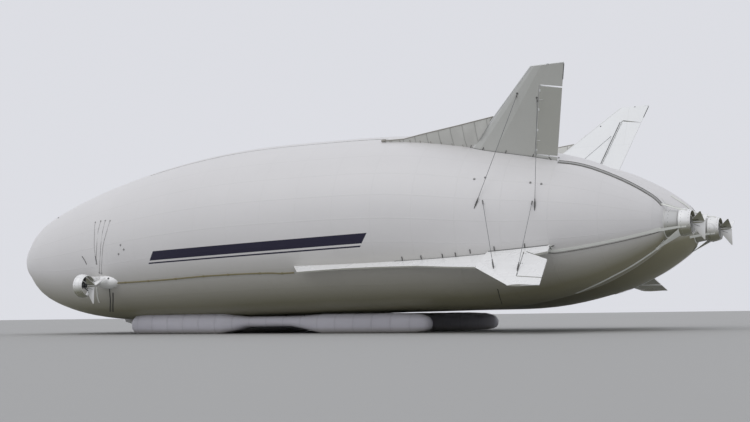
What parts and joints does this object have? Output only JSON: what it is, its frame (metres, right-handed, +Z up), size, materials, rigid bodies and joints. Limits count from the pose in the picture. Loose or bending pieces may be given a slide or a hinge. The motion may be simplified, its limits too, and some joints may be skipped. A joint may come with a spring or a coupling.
{
  "type": "twin-lobed hybrid airship, 1:10 scale model",
  "caption": "Scale model of a twin-lobed gas airship on long landing skids, with splayed fins, ducted propellers at bow and stern and a cabin under its keel.",
  "frame": {"origin": "on the ground under the middle of the bounding box", "axes": "+X to the nose, +Y to port, +Z up"},
  "size_m": [9.1995, 4.356, 2.6682],
  "materials": {
    "envelope_fabric": "satin laminated fabric",
    "fin_grey": "satin",
    "strake_fabric": "taut cloth",
    "white_paint": "gloss",
    "skid_fabric": "satin coated fabric",
    "glazing": "tinted",
    "dark_grey": "satin",
    "stay_steel": "drawn wire",
    "blade_black": "composite blade"
  },
  "bodies": {
    "root": {"envelope_port": "envelope_fabric", "fin_upper_port": "fin_grey", "dorsal_strake_port": "strake_fabric", "side_fin_port": "white_paint", "side_strake_port": "white_paint", "skid_port": "skid_fabric", "glazing_port": "glazing", "stern_collar_port": "white_paint", "pylon_port": "white_paint", "stay_fin_front_port": "stay_steel", "stay_fin_rear_port": "stay_steel", "stay_side_front_port": "stay_steel", "stay_side_rear_port": "stay_steel", "duct_rear_port": "white_paint", "engine_pod_rear_port": "dark_grey", "vane_set_rear_port": "white_paint", "duct_front_port": "white_paint", "engine_pod_front_port": "dark_grey", "vane_set_front_port": "white_paint", "envelope_starboard": "envelope_fabric", "fin_upper_starboard": "fin_grey", "dorsal_strake_starboard": "strake_fabric", "side_fin_starboard": "white_paint", "side_strake_starboard": "white_paint", "skid_starboard": "skid_fabric", "glazing_starboard": "glazing", "stern_collar_starboard": "white_paint", "pylon_starboard": "white_paint", "stay_fin_front_starboard": "stay_steel", "stay_fin_rear_starboard": "stay_steel", "stay_side_front_starboard": "stay_steel", "stay_side_rear_starboard": "stay_steel", "duct_rear_starboard": "white_paint", "engine_pod_rear_starboard": "dark_grey", "vane_set_rear_starboard": "white_paint", "duct_front_starboard": "white_paint", "engine_pod_front_starboard": "dark_grey", "vane_set_front_starboard": "white_paint", "keel_beam": "dark_grey", "mooring_fitting": "stay_steel", "flight_deck": "white_paint", "windscreen": "glazing", "payload_module": "white_paint", "fuel_module": "white_paint"},
    "propeller_rear_port": {"propeller_rear_port": "blade_black"},
    "propeller_front_port": {"propeller_front_port": "blade_black"},
    "propeller_rear_starboard": {"propeller_rear_starboard": "blade_black"},
    "propeller_front_starboard": {"propeller_front_starboard": "blade_black"},
    "rudder_port": {"rudder_port": "fin_grey"},
    "rudder_starboard": {"rudder_starboard": "fin_grey"},
    "elevator_port": {"elevator_port": "white_paint"},
    "elevator_starboard": {"elevator_starboard": "white_paint"},
    "deck_door": {"deck_door": "white_paint"}
  },
  "joints": [
    {"name": "spin_rear_port", "type": "hinge", "parent": "root", "child": "propeller_rear_port", "pos_m": [-4.482, 0.6, 1.086], "axis": [1, 0, 0], "continuous": true},
    {"name": "spin_front_port", "type": "hinge", "parent": "root", "child": "propeller_front_port", "pos_m": [2.463, 1.69, 0.59], "axis": [1, 0, 0], "continuous": true},
    {"name": "spin_rear_starboard", "type": "hinge", "parent": "root", "child": "propeller_rear_starboard", "pos_m": [-4.482, -0.6, 1.086], "axis": [1, 0, 0], "continuous": true},
    {"name": "spin_front_starboard", "type": "hinge", "parent": "root", "child": "propeller_front_starboard", "pos_m": [2.463, -1.69, 0.59], "axis": [1, 0, 0], "continuous": true},
    {"name": "rudder_hinge_port", "type": "hinge", "parent": "root", "child": "rudder_port", "pos_m": [-3.003, 1.01843, 1.84109], "axis": [-0.2607, 0.4673, 0.8448], "range_deg": [-25, 25]},
    {"name": "rudder_hinge_starboard", "type": "hinge", "parent": "root", "child": "rudder_starboard", "pos_m": [-3.003, -1.01843, 1.84109], "axis": [-0.2607, -0.4673, 0.8448], "range_deg": [-25, 25]},
    {"name": "elevator_hinge_port", "type": "hinge", "parent": "root", "child": "elevator_port", "pos_m": [-3.026, 1.44459, 0.78968], "axis": [-0.2092, 0.8898, -0.4055], "range_deg": [-25, 25]},
    {"name": "elevator_hinge_starboard", "type": "hinge", "parent": "root", "child": "elevator_starboard", "pos_m": [-3.026, -1.44459, 0.78968], "axis": [-0.2092, -0.8898, -0.4055], "range_deg": [-25, 25]},
    {"name": "door_hinge", "type": "hinge", "parent": "root", "child": "deck_door", "pos_m": [3.0765, 0.1405, 0.2], "axis": [0, 0, 1], "range_deg": [-80, 0]}
  ]
}
